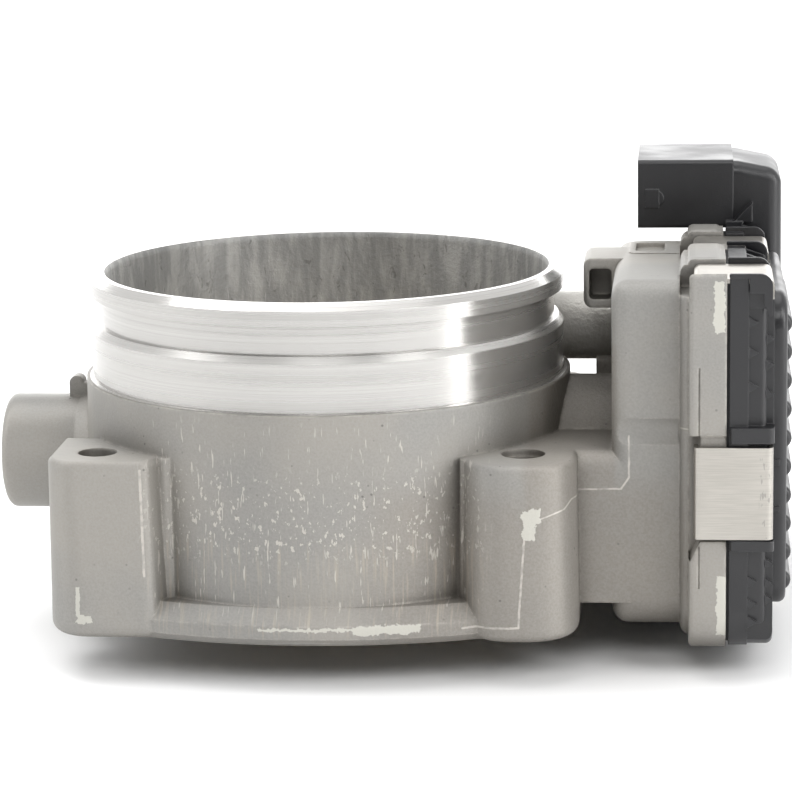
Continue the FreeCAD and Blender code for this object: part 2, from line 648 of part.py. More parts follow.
def needle_bearing_cup():
    cup = ring_x(SEAT_R, 7.05, *NEEDLES)
    lips = [ring_x(7.2, 5.5, x, x + 0.7) for x in (NEEDLES[0], NEEDLES[1] - 0.7)]
    return fuse(cup, *lips)


def needle_rollers():
    count = 16
    rollers = []
    for i in range(count):
        angle = 2 * math.pi * i / count
        y = 6.04 * math.cos(angle)
        z = SHAFT_Z + 6.04 * math.sin(angle)
        rollers.append(cyl_x(0.98, NEEDLES[0] + 0.9, NEEDLES[1] - 0.9, y, z))
    return Part.makeCompound(rollers)


def shaft_seals():
    """Two lip seals that keep the bearings out of the air stream."""
    rings = []
    for x0, x1 in ((-47.9, -44.9), (44.4, 47.4)):
        ring = ring_x(SEAT_R, SHAFT_R + 0.08, x0, x1)
        hollow = ring_x(SEAT_R - 1.2, SHAFT_R + 1.2, x0 - 1, x0 + 1.8)
        rings.append(ring.cut(hollow))
    return Part.makeCompound(rings)


BALL_X = (48.0, 54.0)
BALL_PITCH = 8.0
BALL_R = 1.6


def ball_groove():
    return Part.makeTorus(BALL_PITCH, BALL_R + 0.04, V(sum(BALL_X) / 2, 0, SHAFT_Z), V(1, 0, 0))


def bearing_outer_race():
    return ring_x(BALL_SEAT_R, 8.9, *BALL_X).cut(ball_groove())


def bearing_inner_race():
    return ring_x(7.1, SHAFT_R, *BALL_X).cut(ball_groove())


def bearing_balls():
    count = 9
    middle = sum(BALL_X) / 2
    balls = []
    for i in range(count):
        angle = 2 * math.pi * i / count
        y = BALL_PITCH * math.cos(angle)
        z = SHAFT_Z + BALL_PITCH * math.sin(angle)
        balls.append(Part.makeSphere(BALL_R, V(middle, y, z)))
    return Part.makeCompound(balls)


def shaft_end_plug():
    disc = cyl_x(SEAT_R, -60.6, -58.9)
    return disc.cut(cyl_x(SEAT_R - 1.4, -61, -59.8))


# ---------------------------------------------------------------- spring and stop
SPRING_R = 13.6
SPRING_WIRE = 0.7
SPRING_TURNS = 2.4
SPRING_PITCH = 1.55
STOP_X = 65.0
STOP_Y = -13.5
STOP_R = 2.0
STOP_TIP = 30.3


def spring_bush():
    """Plastic sleeve that the return spring winds round, standing on the case floor."""
    sleeve = ring_x(12.6, 9.6, FLOOR, 62.4)
    foot = ring_x(16.4, 11.2, FLOOR, FLOOR + 0.5)
    return fuse(sleeve, foot)


def return_spring():
    """Torsion spring from the case to the sector."""
    helix = Part.makeHelix(SPRING_PITCH, SPRING_PITCH * SPRING_TURNS, SPRING_R)
    helix.rotate(V(0, 0, 0), V(0, 1, 0), 90)
    helix.translate(V(FLOOR + 0.5 + SPRING_WIRE + 0.02, 0, SHAFT_Z))
    begin = helix.Edges[0].valueAt(helix.Edges[0].FirstParameter)
    along = helix.Edges[0].tangentAt(helix.Edges[0].FirstParameter)
    section = Part.Wire([Part.makeCircle(SPRING_WIRE, begin, along)])
    return Part.Wire(helix.Edges).makePipeShell([section], True, True)


def stop_screw():
    """Adjustable stop for the closed butterfly, locked with a nut above its bracket."""
    rod = cyl_z(STOP_R, STOP_TIP, 54.6, STOP_X, STOP_Y)
    tip = rod.makeChamfer(0.6, edges_at_z(rod, STOP_TIP) + edges_at_z(rod, 54.6))
    angles = [math.radians(60 * i) for i in range(7)]
    points = [V(STOP_X + 3.6 * math.cos(a), STOP_Y + 3.6 * math.sin(a), 50.0) for a in angles]
    nut = Part.Face(Part.makePolygon(points)).extrude(V(0, 0, 2.6))
    return fuse(tip, nut)


# ---------------------------------------------------------------- cover
def cover_shell():
    """Plastic cover that steps back from a flat band through a collar and a plate to a dome."""
    band = prism_x(RIM, COVER_LEFT, BAND_RIGHT, 0.3)
    collar = prism_x(RIM, BAND_RIGHT - 0.5, COLLAR_RIGHT, 1.2).common(box(70, 90, -60, 90, 2.6, 61.9))
    collar = collar.makeFillet(1.0, edges_at_x(collar, COLLAR_RIGHT))
    plate = prism_x(RIM, BAND_RIGHT - 0.5, STEP_RIGHT, 0.6).common(box(70, 90, -38.8, 90, -20, 61.5))
    low = [e for e in edges_at_x(plate, STEP_RIGHT) if e.BoundBox.ZMax < 0.0 and e.BoundBox.YMax < 10.0]
    plate = plate.makeFillet(1.2, low)
    dome = prism_x(DOME, STEP_RIGHT - 0.5, DOME_RIGHT)
    dome = dome.makeFillet(1.4, edges_at_x(dome, DOME_RIGHT))
    return fuse(band, collar, plate, dome)


def cover_gussets():
    """Small triangular stiffeners on the two steps, up the front and along the top."""
    gussets = []
    for x0, x1, front, heights in (
        (BAND_RIGHT - 0.2, 80.0, -41.5, (3.1, 6.4, 10.5, 45.6, 51.6, 57.0)),
        (COLLAR_RIGHT - 0.2, STEP_RIGHT, -39.8, (6.8, 9.8, 13.4, 44.0, 49.2, 53.8)),
    ):
        for z in heights:
            points = [V(x0, front, z + 1.1), V(x1, front, z), V(x0, front, z - 1.2)]
            gussets.append(Part.Face(Part.makePolygon(points + points[:1])).extrude(V(0, 3.0, 0)))
    for y in (-20.0, -14.0, -8.0, 16.0, 22.0):
        points = [V(BAND_RIGHT - 0.2, y, 64.8), V(82.0, y, 63.6), V(BAND_RIGHT - 0.2, y + 1.2, 64.8)]
        gussets.append(Part.Face(Part.makePolygon(points + points[:1])).extrude(V(0, 0, -4.5)))
    return gussets


def cover_ribs():
    """Round-topped ribs across the outer face, clear of the connector's elbow."""
    ribs = []
    for z in [RIB_FIRST + RIB_PITCH * i for i in range(10)]:
        back = 64.0 if z < 32 else 10.0
        rib = cyl_y(1.9, -32.5, back, RIB_RIGHT - 1.9, z)
        ribs.append(rib.makeFillet(1.1, [e for e in rib.Edges if e.BoundBox.YLength < 0.01]))
    return ribs


def fin(y):
    """One thin guide fin beside a clip on the top side, with a rounded outer corner and a leg."""
    wire = rounded_wire([
        (V(74.9, y, 64.9), 0.3), (V(74.9, y, 65.7), 0.3), (V(82.4, y, 65.7), 2.2),
        (V(82.4, y, 58.2), 0.2), (V(81.8, y, 58.2), 0.1),
        (V(80.9, y, 60.4), 0.2), (V(80.9, y, 62.3), 0.4), (V(78.4, y, 62.3), 0.3), (V(78.4, y, 64.9), 0.3),
    ])
    return Part.Face(wire).extrude(V(0, FIN_T, 0))


def front_pad(z0, z1):
    """One guide pad beside the clip on the front side."""
    return prism_z([(75.2, -42.9, 0.5), (82.9, -42.9, 1.2), (82.9, -38.0, 0.4), (75.2, -38.0, 0.4)], z0, z1)


def clip_seats():
    """Lands on the cover that the clips' outer hooks catch."""
    right = CLIP_RIGHT - CLIP_T - 0.2
    seats = [box(77.0, right, -41.7, -37.0, FRONT_CLIP - 8.6, FRONT_CLIP + 8.6)]
    seats += [box(77.0, right, y - 8.6, y + 8.6, 59.5, top_of_rim(y) - 0.3) for y in TOP_CLIPS]
    seats += [box(77.0, right, y - 8.6, y + 8.6, -7.1, -2.0) for y in BOTTOM_CLIPS]
    seats += [box(77.0, right, 74.0, 78.7, REAR_CLIP - 8.6, REAR_CLIP + 8.6)]
    return seats


FRONT_CLIP = 26.7
TOP_CLIPS = (-32.8, 4.4)
BOTTOM_CLIPS = (18.0, 56.0)
REAR_CLIP = 14.0


def top_of_rim(y):
    """Height of the rim's top side, which falls slightly towards the back."""
    (y0, z0, _), (y1, z1, _) = RIM[1], RIM[2]
    return z0 + (z1 - z0) * (y - y0) / (y1 - y0)


def connector():
    """Rectangular plug shroud that faces -X, with an elbow down into the cover."""
    x0, x1 = PLUG_X
    y0, y1 = PLUG_Y
    z0, z1 = PLUG_Z
    shroud = box(x0, x1, y0, y1, z0, z1)
    shroud = shroud.makeFillet(0.8, [e for e in shroud.Edges if e.BoundBox.XLength > 10])
    mouth = box(x0 - 1, 72.5, y0 + PLUG_WALL, y1 - PLUG_WALL, z0 + PLUG_WALL, z1 - PLUG_WALL)
    front = y0 + 1.0
    corners = [
        (V(75.5, front, 38.0), 0), (V(75.5, front, z1 - 0.5), 0), (V(77.4, front, z1 - 0.5), 5.0),
        (V(85.8, front, z1 - 2.2), 3.4), (V(86.0, front, 38.0), 3.2),
    ]
    elbow = Part.Face(rounded_wire(corners)).extrude(V(0, y1 - y0 - 2.0, 0))
    ends = [e for e in elbow.Edges if e.BoundBox.YLength < 0.01 and e.BoundBox.XMax > 76.8]
    elbow = elbow.makeFillet(2.4, [e for e in ends if e.BoundBox.ZMin > 42])
    key = box(59.5, 62.2, y0 - 0.5, y0 + 1, z0 + 4.0, z0 + 7.7)
    key_round = cyl_y(1.6, y0 - 0.3, y0 + 1, 61.5, z0 + 5.85)
    bracket = box(75.1, 78.4, y0 - 1.2, y0 + 2, z0 - 0.7, z0 + 1.5)
    points = [V(76.6, y0 - 1.0, z0 + 1.3), V(80.2, y0 - 1.0, z0 + 1.3), V(80.2, y0 - 1.0, z0 + 5.1)]
    gusset = Part.Face(Part.makePolygon(points + points[:1])).extrude(V(0, 3.0, 0))
    return fuse(shroud, elbow, key, key_round, bracket, gusset).cut(mouth)


def cover_room():
    """The hollow inside the cover."""
    room = prism_x(RIM, COVER_LEFT - 1, 80.2, WALL + 2.6)
    upper = prism_x(DOME, 79.0, DOME_RIGHT - 2.2, WALL - 0.6)
    return fuse(room, upper)


def gear_cover():
    solid = fuse(cover_shell(), *cover_gussets())
    solid = fuse(solid, *clip_seats())
    fins = [fin(y + side * FIN_GAP / 2 - FIN_T / 2) for y in TOP_CLIPS for side in (-1, 1)]
    pads = [front_pad(FRONT_CLIP + low, FRONT_CLIP + high) for low, high in ((9.0, 11.8), (-10.4, -8.5))]
    solid = fuse(solid, *fins, *pads)
    pips = [box(82.5, 83.9, -37.5, -36.0, z, z + 1.0) for z in (22.2, 30.7)]
    solid = fuse(solid, connector(), *cover_ribs(), *pips)
    solid = solid.cut([cover_room()] + at_top_clips(clip_recess()) + at_clips(outer_pocket()))
    axle_boss = cyl_x(AXLE_R + 2.2, 77.4, DOME_RIGHT - 1, MID_Y, MID_Z)
    bosses = [cyl_x(2.2, 79.5, DOME_RIGHT - 1, y, z) for y, z in BOARD_PEGS]
    solid = fuse(solid, axle_boss, *bosses)
    return solid.cut([cyl_x(AXLE_R, 70, 80.6, MID_Y, MID_Z), connector_pins()])


def cover_gasket():
    outer = prism_x(RIM, RIM_RIGHT, COVER_LEFT, 1.0)
    return outer.cut([prism_x(RIM, RIM_RIGHT - 1, COVER_LEFT + 1, 2.8)] + at_top_clips(clip_recess()))


BOARD_PEGS = ((-8.0, 42.0), (8.0, 42.0))


def sensor_board():
    """Circuit board under the cover that reads the magnets on the shaft's end."""
    outline = [
        (-14.0, 8.0, 2), (-14.0, 55.5, 2), (21.0, 55.0, 2), (49.0, 42.5, 2), (46.0, 37.5, 2),
        (16.0, 44.0, 2),
        (4.0, 32.0, 2), (4.0, 8.0, 1),
    ]
    board = prism_x(outline, 77.9, 79.5)
    chip = box(76.6, 77.9, -6.0, 0.0, 20.0, 28.0)
    return fuse(board, chip).cut(connector_pins())


def connector_pins():
    """Six blades in the plug, each with a leg down to the circuit board."""
    pins = []
    middle = sum(PLUG_Y) / 2
    for i in range(6):
        y = middle + PIN_PITCH * (i - 2.5)
        blade = box(64.0, 79.4, y - 0.35, y + 0.35, 69.7, 70.9)
        leg = box(78.4, 79.4, y - 0.35, y + 0.35, 43.0, 70.9)
        pins.append(fuse(blade, leg))
    return Part.makeCompound(pins)


def clip_recess():
    """The shallow recess across rim and cover that a top clip lies in, drawn like the clip."""
    return box(RIM_LEFT - 1.0, CLIP_RIGHT + 0.2, -0.45, CLIP_WIDTH + 0.45, -CLIP_T - 0.05, 3.0)


def clip_blank():
    """A spring steel C across the joint: drawn with its back on Z = 0 and its width along Y."""
    t = CLIP_T
    left = CLIP_LEFT
    right = CLIP_RIGHT
    drop = 3.6
    wire = rounded_wire([
        (V(left, 0, 0), 1.1), (V(right, 0, 0), 1.3), (V(right, 0, -drop), 0.3),
        (V(right - t, 0, -drop), 0.3), (V(right - t, 0, -t), 0.5),
        (V(left + t, 0, -t), 0.3), (V(left + t, 0, -drop), 0.3), (V(left, 0, -drop), 0.3),
    ])
    return Part.Face(wire).extrude(V(0, CLIP_WIDTH, 0))


def hook_pocket():
    """Room in the rim for a clip's inner hook, drawn like the clip itself."""
    return box(RIM_LEFT - 1.6, CLIP_LEFT + CLIP_T + 0.35, -0.5, CLIP_WIDTH + 0.5, -4.2, 2.0)


def placed(blank, y, z, degrees):
    """A shape drawn like a clip, centred on its width and turned about X into its place."""
    copy = blank.copy()
    copy.translate(V(0, -CLIP_WIDTH / 2, 0))
    copy.rotate(V(0, 0, 0), V(1, 0, 0), degrees)
    copy.translate(V(0, y, z))
    return copy


def at_top_clips(blank):
    """Copies of a shape drawn like a clip, one for each clip that is sunk into the top side."""
    return [placed(blank, y, top_of_rim(y) - CLIP_SUNK, 0) for y in TOP_CLIPS]


def outer_pocket():
    """Room in the cover for a clip's outer hook, drawn like the clip itself."""
    return box(CLIP_RIGHT - CLIP_T - 0.4, CLIP_RIGHT + 0.3, -0.3, CLIP_WIDTH + 0.3, -4.0, 2.0)


def at_clips(blank):
    """Copies of a shape drawn like a clip, one for each clip round the cover."""
    lift = CLIP_T + 0.02
    sides = [(-42.0 - lift, FRONT_CLIP, 90), (79.0 + lift, REAR_CLIP, -90)]
    sides += [(y, -7.4 - lift, 180) for y in BOTTOM_CLIPS]
    return [placed(blank, *side) for side in sides] + at_top_clips(blank)


def cover_clips():
    return Part.makeCompound(at_clips(clip_blank()))


# ---------------------------------------------------------------- sub-parts, one file each
NODES = [
    throttle_housing, gear_cover, cover_gasket, cover_clips, connector_pins, sensor_board, throttle_shaft,
    throttle_plate,
    plate_screws, throttle_gear, sensor_magnet_holder, sensor_magnets, needle_bearing_cup, needle_rollers,
    shaft_seals,
    bearing_outer_race, bearing_inner_race, bearing_balls, shaft_end_plug, spring_bush, return_spring,
    stop_screw,
    intermediate_gear, intermediate_axle, motor_can, motor_mount_plate, motor_screws, motor_magnets,
    motor_bushes,
    brush_holder, motor_brushes, motor_terminals, motor_wave_spring, motor_shaft, motor_armature,
    motor_windings,
    motor_commutator, motor_pinion,
]

os.makedirs("parts", exist_ok=True)
for make in NODES:
    shape = make()
    shape.exportStep("parts/" + make.__name__ + ".step")
    state = "valid" if shape.isValid() else "NOT VALID"
    print(make.__name__, state, len(shape.Solids), "solids", round(shape.Volume))
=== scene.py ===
"""Looks for the electronic throttle body: camera, soft studio and procedural materials.

Positions in the materials are millimetres in the part's own frame: +Z up the bore, +X towards the gear cover,
origin at the bore centre on the flange's mounting face.
"""

import json
import math

import bpy
from mathutils import Matrix, Vector


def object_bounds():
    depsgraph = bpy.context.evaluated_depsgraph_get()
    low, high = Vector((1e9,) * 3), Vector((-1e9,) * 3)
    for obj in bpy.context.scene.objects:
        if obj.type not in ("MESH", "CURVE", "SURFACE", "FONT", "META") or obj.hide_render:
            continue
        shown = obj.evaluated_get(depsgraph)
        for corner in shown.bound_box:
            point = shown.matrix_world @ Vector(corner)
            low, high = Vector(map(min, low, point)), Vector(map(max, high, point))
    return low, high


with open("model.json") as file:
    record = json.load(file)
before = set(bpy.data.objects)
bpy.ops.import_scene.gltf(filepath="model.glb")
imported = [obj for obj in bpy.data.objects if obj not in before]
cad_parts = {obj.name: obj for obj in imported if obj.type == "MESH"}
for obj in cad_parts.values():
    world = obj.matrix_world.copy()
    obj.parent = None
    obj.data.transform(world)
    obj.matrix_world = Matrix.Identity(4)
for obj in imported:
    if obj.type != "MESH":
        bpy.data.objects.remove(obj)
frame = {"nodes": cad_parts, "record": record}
cad_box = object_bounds()

MM = 0.001

# Mouth of the bore and the turned neck round it, in millimetres
MOUTH_R = 41.9
NECK_R = 45.1
NECK_FOOT = 41.05
NECK_TOP = 60.7

# Camera: azimuth, elevation and roll in degrees, distance and aim in metres, lens and sensor in millimetres
CAMERA_AZIMUTH = 5.3
CAMERA_ELEVATION = 11.467
CAMERA_ROLL = 0.949
CAMERA_DISTANCE = 0.6
AIM_HEIGHT = 0.035216
AIM_RIGHT = 0.012624
LENS = 143.45
SENSOR = 36.0

# Brightness of the room: dim behind the camera, white behind the object, eased between two values of the
# direction's Y
ROOM_DIM = 0.07
ROOM_WHITE = 1.02
DIM_BELOW_Y = -0.95
WHITE_ABOVE_Y = -0.1

# Half the floor's side, in metres
FLOOR_HALF = 6.0

# Soft lights: name, place, aim, width and height in metres, watts
LIGHTS = (
    ("overhead", (-0.1, 0.1, 1.1), (0, 0, 0.03), (1.0, 0.8), 3.2),
    ("front_high", (0.05, -0.95, 0.75), (0, 0, 0.03), (0.5, 0.4), 3.2),
    ("left_high", (-0.85, -0.31, 0.6), (0, 0, 0.03), (0.45, 0.5), 1.0),
    ("left_top", (-0.5, 0.15, 0.95), (0.04, 0.0, 0.05), (0.4, 0.4), 2.2),
    ("right_high", (0.66, -0.62, 0.68), (0, 0, 0.03), (0.4, 0.5), 3.2),
    ("right_side", (1.0, -0.34, 0.3), (0.08, 0, 0.03), (0.2, 0.7), 3.6),
    ("backdrop", (0.0, 1.6, 0.45), (0, 0, 0.03), (2.4, 0.8), 12.0),
)


# ---------------------------------------------------------------- camera and studio
def make_camera():
    az = math.radians(CAMERA_AZIMUTH)
    el = math.radians(CAMERA_ELEVATION)
    right = Vector((math.cos(az), math.sin(az), 0))
    toward = Vector((math.sin(az) * math.cos(el), -math.cos(az) * math.cos(el), math.sin(el)))
    up = toward.cross(right).normalized()
    aim = Vector((0, 0, AIM_HEIGHT)) + right * AIM_RIGHT
    roll = Matrix.Rotation(math.radians(-CAMERA_ROLL), 3, "Z")
    turn = Matrix((right, up, toward)).transposed() @ roll
    lens = bpy.data.cameras.new("camera")
    lens.sensor_width = SENSOR
    lens.lens = LENS
    lens.clip_start = 0.01
    lens.clip_end = 50
    camera = bpy.data.objects.new("camera", lens)
    bpy.context.scene.collection.objects.link(camera)
    camera.matrix_world = Matrix.Translation(aim + toward * CAMERA_DISTANCE) @ turn.to_4x4()
    bpy.context.scene.camera = camera


def soft_light(name, place, aim, size, power):
    lamp = bpy.data.lights.new(name, "AREA")
    lamp.shape = "RECTANGLE"
    lamp.size, lamp.size_y = size
    lamp.energy = power
    holder = bpy.data.objects.new(name, lamp)
    bpy.context.scene.collection.objects.link(holder)
    holder.location = place
    holder.rotation_mode = "QUATERNION"
    holder.rotation_quaternion = (Vector(aim) - Vector(place)).to_track_quat("-Z", "Y")


def make_world():
    """A white room that is dimmer on the camera's side, so dark plastic keeps its depth."""
    world = bpy.data.worlds.new("studio")
    world.use_nodes = True
    bpy.context.scene.world = world
    bpy.context.scene.view_settings.view_transform = "Standard"
    tree = world.node_tree
    place = tree.nodes.new("ShaderNodeTexCoord")
    split = tree.nodes.new("ShaderNodeSeparateXYZ")
    tree.links.new(place.outputs["Generated"], split.inputs[0])
    ramp = tree.nodes.new("ShaderNodeMapRange")
    ramp.interpolation_type = "SMOOTHSTEP"
    ramp.inputs["From Min"].default_value = DIM_BELOW_Y
    ramp.inputs["From Max"].default_value = WHITE_ABOVE_Y
    ramp.inputs["To Min"].default_value = ROOM_DIM
    ramp.inputs["To Max"].default_value = ROOM_WHITE
    tree.links.new(split.outputs["Y"], ramp.inputs["Value"])
    tree.links.new(ramp.outputs["Result"], tree.nodes["Background"].inputs["Strength"])
    tree.nodes["Background"].inputs["Color"].default_value = (1.0, 1.0, 1.0, 1)


def make_floor(height):
    """A wide, flat, pale sheet under the object."""
    mesh = bpy.data.meshes.new("floor")
    signs = ((-1, -1), (1, -1), (1, 1), (-1, 1))
    corners = [(x * FLOOR_HALF, y * FLOOR_HALF, height) for x, y in signs]
    mesh.from_pydata(corners, [], [(0, 1, 2, 3)])
    floor = bpy.data.objects.new("floor", mesh)
    bpy.context.scene.collection.objects.link(floor)
    look = Look("floor_paint", rough=0.9)
    grain = look.noise(0.02, detail=2)
    look.colour(look.blend(grain, (0.91, 0.91, 0.91), (0.95, 0.95, 0.95)))
    look.shader.inputs["Specular IOR Level"].default_value = 0.1
    mesh.materials.append(look.material)


# ---------------------------------------------------------------- material kit
class Look:
    """One material's node tree. Every pattern reads the object's own coordinates, scaled to millimetres."""

    def __init__(self, name, metal=0.0, rough=0.5):
        self.material = bpy.data.materials.new(name)
        self.material.use_nodes = True
        self.tree = self.material.node_tree
        self.shader = self.tree.nodes["Principled BSDF"]
        self.shader.inputs["Metallic"].default_value = metal
        self.shader.inputs["Roughness"].default_value = rough
        coords = self.node("ShaderNodeTexCoord")
        scale = self.node("ShaderNodeVectorMath", operation="SCALE")
        scale.inputs["Scale"].default_value = 1 / MM
        self.link(coords.outputs["Object"], scale.inputs[0])
        self.place = scale.outputs["Vector"]
        split = self.node("ShaderNodeSeparateXYZ")
        self.link(self.place, split.inputs[0])
        self.x, self.y, self.z = split.outputs
        self.bumps = None

    def node(self, kind, **settings):
        made = self.tree.nodes.new(kind)
        for key, value in settings.items():
            setattr(made, key, value)
        return made

    def link(self, source, target):
        self.tree.links.new(source, target)

    def feed(self, value, target):
        """Links the target to a socket, or sets it to a number, point or colour."""
        if isinstance(value, bpy.types.NodeSocket):
            self.link(value, target)
        elif isinstance(value, tuple) and target.type == "RGBA":
            target.default_value = (*value, 1)
        else:
            target.default_value = value

    def calc(self, operation, a, b):
        made = self.node("ShaderNodeMath", operation=operation)
        self.feed(a, made.inputs[0])
        self.feed(b, made.inputs[1])
        return made.outputs[0]

    def vector(self, operation, a, b=None):
        """The node itself, since some results are vectors and some are values."""
        made = self.node("ShaderNodeVectorMath", operation=operation)
        self.feed(a, made.inputs[0])
        if b is not None:
            self.feed(b, made.inputs[1])
        return made

    def times(self, *values):
        total = values[0]
        for value in values[1:]:
            total = self.calc("MULTIPLY", total, value)
        return total

    def either(self, *values):
        total = values[0]
        for value in values[1:]:
            total = self.calc("MAXIMUM", total, value)
        return total

    def inverse(self, value):
        return self.calc("SUBTRACT", 1.0, value)

    def ramp(self, value, low, high, to_low=0.0, to_high=1.0):
        """to_low at low and to_high at high, eased between them and flat past them; low may be the larger."""
        flip = low > high
        made = self.node("ShaderNodeMapRange", interpolation_type="SMOOTHSTEP")
        made.inputs["From Min"].default_value = min(low, high)
        made.inputs["From Max"].default_value = max(low, high)
        made.inputs["To Min"].default_value = to_high if flip else to_low
        made.inputs["To Max"].default_value = to_low if flip else to_high
        self.feed(value, made.inputs["Value"])
        return made.outputs["Result"]

    def window(self, value, low, high, soft):
        """1 between low and high, easing to 0 over soft on each side."""
        return self.times(self.ramp(value, low - soft, low), self.ramp(value, high + soft, high))

    def stretched(self, sizes):
        """The coordinates divided by a size along each axis, in millimetres."""
        made = self.node("ShaderNodeVectorMath", operation="DIVIDE")
        self.link(self.place, made.inputs[0])
        made.inputs[1].default_value = sizes
        return made.outputs["Vector"]

    def noise(self, size, detail=2.0, rough=0.5, distortion=0.0):
        """Noise from 0 to 1 with features of that size in millimetres, or three sizes along the axes."""
        sizes = size if isinstance(size, tuple) else (size, size, size)
        made = self.node("ShaderNodeTexNoise")
        made.inputs["Scale"].default_value = 1.0
        made.inputs["Detail"].default_value = detail
        made.inputs["Roughness"].default_value = rough
        made.inputs["Distortion"].default_value = distortion
        self.link(self.stretched(sizes), made.inputs["Vector"])
        return made.outputs["Fac"]

    def spots(self, size):
        """0 at scattered points, rising away from them."""
        made = self.node("ShaderNodeTexVoronoi", feature="F1")
        made.inputs["Scale"].default_value = 1.0
        self.link(self.stretched((size, size, size)), made.inputs["Vector"])
        return made.outputs["Distance"]

    def blend(self, share, a, b):
        made = self.node("ShaderNodeMix", data_type="RGBA")
        self.feed(share, made.inputs[0])
        self.feed(a, made.inputs[6])
        self.feed(b, made.inputs[7])
        return made.outputs[2]

    def shade(self, share, colour, tone):
        """The colour multiplied by a tone, in full where share is 1."""
        made = self.node("ShaderNodeMix", data_type="RGBA", blend_type="MULTIPLY")
        self.feed(share, made.inputs[0])
        self.feed(colour, made.inputs[6])
        self.feed(tone, made.inputs[7])
        return made.outputs[2]

    def hollows(self, reach, low, high):
        """1 deep in corners and pockets, 0 in the open, within that reach in millimetres."""
        made = self.node("ShaderNodeAmbientOcclusion", samples=4)
        made.inputs["Distance"].default_value = reach * MM
        return self.ramp(made.outputs["AO"], high, low)

    def number(self, share, a, b):
        made = self.node("ShaderNodeMix", data_type="FLOAT")
        self.feed(share, made.inputs[0])
        self.feed(a, made.inputs[2])
        self.feed(b, made.inputs[3])
        return made.outputs[0]

    def edges(self, radius, low, high):
        """1 along edges and tight corners within that radius in millimetres, 0 on open faces."""
        round_off = self.node("ShaderNodeBevel", samples=4)
        round_off.inputs["Radius"].default_value = radius * MM
        plain = self.node("ShaderNodeNewGeometry")
        agree = self.vector("DOT_PRODUCT", round_off.outputs["Normal"], plain.outputs["Normal"])
        return self.ramp(self.inverse(agree.outputs["Value"]), low, high)

    def radius(self):
        """Distance from the bore's axis."""
        flat = self.node("ShaderNodeCombineXYZ")
        self.link(self.x, flat.inputs[0])
        self.link(self.y, flat.inputs[1])
        return self.vector("LENGTH", flat.outputs[0]).outputs["Value"]

    def colour(self, value):
        self.feed(value, self.shader.inputs["Base Color"])

    def roughness(self, value):
        self.feed(value, self.shader.inputs["Roughness"])

    def metal(self, value):
        self.feed(value, self.shader.inputs["Metallic"])

    def soften(self, radius):
        """Shades edges and corners as if they had a fillet of that radius in millimetres."""
        made = self.node("ShaderNodeBevel", samples=6)
        self.feed(self.calc("MULTIPLY", radius, MM), made.inputs["Radius"])
        self.bumps = made.outputs["Normal"]

    def bump(self, height, depth, strength=1.0):
        """Adds relief of that depth in millimetres, on top of the relief so far."""
        made = self.node("ShaderNodeBump")
        self.feed(strength, made.inputs["Strength"])
        made.inputs["Distance"].default_value = depth * MM
        self.link(height, made.inputs["Height"])
        if self.bumps is not None:
            self.link(self.bumps, made.inputs["Normal"])
        self.bumps = made.outputs["Normal"]
        self.link(self.bumps, self.shader.inputs["Normal"])


# ---------------------------------------------------------------- die-cast housing
# Parting lines of the die on the front faces: start and end in X and Z, half width
PARTING_LINES = (
    ((57.3, 34.8), (57.3, 27.4), 0.16),
    ((57.3, 27.4), (55.9, 25.3), 0.18),
    ((55.9, 25.3), (47.3, 25.2), 0.16),
    ((47.3, 25.2), (46.1, 23.8), 0.14),
    ((46.1, 23.8), (41.9, 22.6), 0.14),
    ((39.1, 19.0), (38.0, 3.1), 0.2),
    ((38.0, 3.1), (28.0, 2.6), 0.2),
    ((66.3, 36.7), (74.0, 36.7), 0.14),
    ((-29.5, 30.4), (-28.9, 11.6), 0.24),
)
# Rubbed patches on the front faces: X from and to, Z from and to
RUBBED_PATCHES = (
    (72.3, 74.1, 55.2, 64.2),
    (72.9, 74.6, 0.6, 11.6),
    (38.8, 41.0, 18.8, 24.0),
    (40.0, 42.0, 21.8, 24.4),
    (9.0, 20.5, 2.3, 3.8),
    (-8.0, 10.0, 2.9, 3.4),
    (-41.6, -38.6, 3.0, 4.4),
    (-41.4, -40.7, 4.0, 9.4),
)

# Tones of the casting
SKIN_COOL = (0.285, 0.279, 0.264)
SKIN_WARM = (0.335, 0.318, 0.29)
SKIN_BROWN = (0.25, 0.225, 0.195)
SKIN_GRIT = (0.50, 0.49, 0.465)
SKIN_PIT = (0.12, 0.115, 0.11)
DRAG_SHEEN = (0.50, 0.44, 0.36)
DRAG_MARK = (0.62, 0.59, 0.54)
WORN_CORNER = (0.62, 0.585, 0.53)
LINE_PALE = (0.60, 0.565, 0.52)
RUBBED = (0.62, 0.61, 0.55)
BORE_DARK = (0.27, 0.27, 0.262)
BORE_PALE = (0.40, 0.395, 0.38)
BORE_DROP = (0.5, 0.49, 0.48)
BORE_STAIN = (0.11, 0.105, 0.10)
# Tone of the painted light on the tube between neck and case
TUBE_PAINTED_LIGHT = (0.62, 0.605, 0.57)
# Tone of the painted shade in corners and pockets
CORNER_PAINTED_SHADE = (0.40, 0.385, 0.36)
NECK_DARK = (0.46, 0.45, 0.435)
NECK_BRIGHT = (0.60, 0.59, 0.57)
NECK_ARC = (0.56, 0.55, 0.53)

# So long across the rings that the noise only varies along the axis
RING = 400.0


